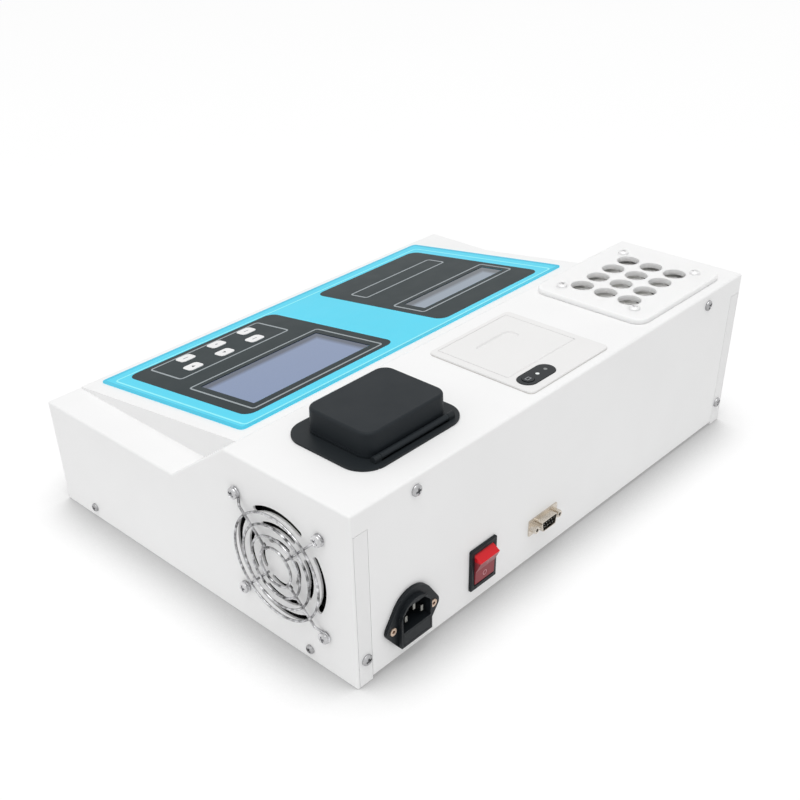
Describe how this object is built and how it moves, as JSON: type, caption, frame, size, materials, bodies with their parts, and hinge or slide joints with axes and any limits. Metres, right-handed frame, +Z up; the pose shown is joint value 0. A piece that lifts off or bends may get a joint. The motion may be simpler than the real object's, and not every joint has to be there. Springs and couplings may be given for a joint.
{
  "type": "water quality tester",
  "caption": "Bench water quality tester: stepped white case with a sloping keypad console, covered photometer well, paper printer and a tube heating block",
  "frame": {"origin": "middle of the footprint, at the height of the surface that the feet stand on", "axes": "+X towards the end wall with the fan, +Y towards the rear wall with the sockets, +Z up; the user faces the console from -Y"},
  "size_m": [0.4254, 0.3129, 0.1433],
  "materials": {
    "case_paint": "satin powder coat",
    "tray_paint": "satin powder coat",
    "rubber": "matte",
    "zinc_screw": "bright zinc",
    "overlay": "printed film",
    "lcd_glass": "clear over grey cells",
    "module": "framed circuit module",
    "circuit_board": "solder mask",
    "key_white": "moulded",
    "lid_black": "fine grain",
    "flange_black": "black paint",
    "pin_steel": "bright",
    "cell_black": "black anodised",
    "printer_white": "moulded",
    "paper": "thermal paper",
    "head_ceramic": "glazed",
    "insert_dark": "smooth",
    "lens": "diffuse",
    "aluminium": "machined",
    "insulation": "felt board",
    "fan_plastic": "moulded",
    "chrome": "plated wire",
    "inlet_plastic": "moulded",
    "brass": "plain",
    "rocker_red": "translucent",
    "nickel": "nickel plated",
    "supply_metal": "folded sheet",
    "fuse_glass": "clear with metal caps"
  },
  "bodies": {
    "case": {"main_cover": "case_paint", "base_tray": "tray_paint", "rubber_feet": "rubber", "cover_screws": "zinc_screw", "console_hood": "case_paint", "overlay_sheet": "overlay", "main_display_glass": "lcd_glass", "main_display_module": "module", "small_display_glass": "lcd_glass", "small_display_module": "module", "keypad_board": "circuit_board", "photometer_flange": "flange_black", "lid_hinge_pin": "pin_steel", "light_seal": "rubber", "cell_block": "cell_black", "lamp_board": "circuit_board", "detector_board": "circuit_board", "printer_housing": "printer_white", "door_hinge_pin": "pin_steel", "thermal_head": "head_ceramic", "paper_spindle": "printer_white", "control_insert": "insert_dark", "status_lenses": "lens", "printer_board": "circuit_board", "block_cover": "case_paint", "block_screws": "pin_steel", "heater_block": "aluminium", "temperature_probe": "pin_steel", "heater_plate": "aluminium", "block_insulation": "insulation", "block_posts": "aluminium", "fan_frame": "fan_plastic", "finger_guard": "chrome", "fan_screws": "zinc_screw", "inlet_body": "inlet_plastic", "inlet_pins": "nickel", "inlet_rivets": "brass", "switch_bezel": "inlet_plastic", "serial_shell": "nickel", "serial_insert": "inlet_plastic", "serial_pins": "brass", "serial_jacks": "nickel", "power_supply": "supply_metal", "board_standoffs": "brass", "main_board": "circuit_board"},
    "lid": {"photometer_lid": "lid_black"},
    "printer_door": {"printer_door": "printer_white"},
    "platen": {"platen_roller": "rubber"},
    "paper": {"paper_roll": "paper"},
    "feed_button": {"feed_button": "insert_dark"},
    "fan_rotor": {"fan_rotor": "fan_plastic"},
    "rocker": {"rocker": "rocker_red"},
    "fuse_drawer": {"fuse_drawer": "inlet_plastic", "fuse": "fuse_glass"},
    "key_1": {"key_1": "key_white"},
    "key_2": {"key_2": "key_white"},
    "key_3": {"key_3": "key_white"},
    "key_4": {"key_4": "key_white"},
    "key_5": {"key_5": "key_white"},
    "key_6": {"key_6": "key_white"}
  },
  "joints": [
    {"name": "lid_hinge", "type": "hinge", "parent": "case", "child": "lid", "pos_m": [0.1295, 0.1272, 0.1289], "axis": [-1, 0, 0], "range_deg": [0, 100]},
    {"name": "printer_door_hinge", "type": "hinge", "parent": "case", "child": "printer_door", "pos_m": [-0.0007, 0.1215, 0.1257], "axis": [-1, 0, 0], "range_deg": [0, 90]},
    {"name": "platen_spin", "type": "hinge", "parent": "printer_door", "child": "platen", "pos_m": [-0.0007, 0.074, 0.1175], "axis": [1, 0, 0], "continuous": true},
    {"name": "paper_spin", "type": "hinge", "parent": "case", "child": "paper", "pos_m": [-0.0007, 0.101, 0.0995], "axis": [1, 0, 0], "continuous": true},
    {"name": "feed_button_press", "type": "slide", "parent": "case", "child": "feed_button", "axis": [0, 0, -1], "range_m": [0, 0.0008], "stiffness_N_per_m": 250},
    {"name": "fan_spin", "type": "hinge", "parent": "case", "child": "fan_rotor", "pos_m": [0.195, 0.0923, 0.0633], "axis": [1, 0, 0], "continuous": true},
    {"name": "rocker_tilt", "type": "hinge", "parent": "case", "child": "rocker", "pos_m": [0.0949, 0.151, 0.029], "axis": [1, 0, 0], "range_deg": [0, 26]},
    {"name": "fuse_drawer_slide", "type": "slide", "parent": "case", "child": "fuse_drawer", "axis": [0, 1, 0], "range_m": [0, 0.017]},
    {"name": "key_1_press", "type": "slide", "parent": "case", "child": "key_1", "axis": [0, 0.1375, -0.9905], "range_m": [0, 0.0004], "stiffness_N_per_m": 300},
    {"name": "key_2_press", "type": "slide", "parent": "case", "child": "key_2", "axis": [0, 0.1375, -0.9905], "range_m": [0, 0.0004], "stiffness_N_per_m": 300},
    {"name": "key_3_press", "type": "slide", "parent": "case", "child": "key_3", "axis": [0, 0.1375, -0.9905], "range_m": [0, 0.0004], "stiffness_N_per_m": 300},
    {"name": "key_4_press", "type": "slide", "parent": "case", "child": "key_4", "axis": [0, 0.1375, -0.9905], "range_m": [0, 0.0004], "stiffness_N_per_m": 300},
    {"name": "key_5_press", "type": "slide", "parent": "case", "child": "key_5", "axis": [0, 0.1375, -0.9905], "range_m": [0, 0.0004], "stiffness_N_per_m": 300},
    {"name": "key_6_press", "type": "slide", "parent": "case", "child": "key_6", "axis": [0, 0.1375, -0.9905], "range_m": [0, 0.0004], "stiffness_N_per_m": 300}
  ],
  "couplings": [
    {"joint": "platen_spin", "follows": "paper_spin", "ratio": -4.25}
  ]
}
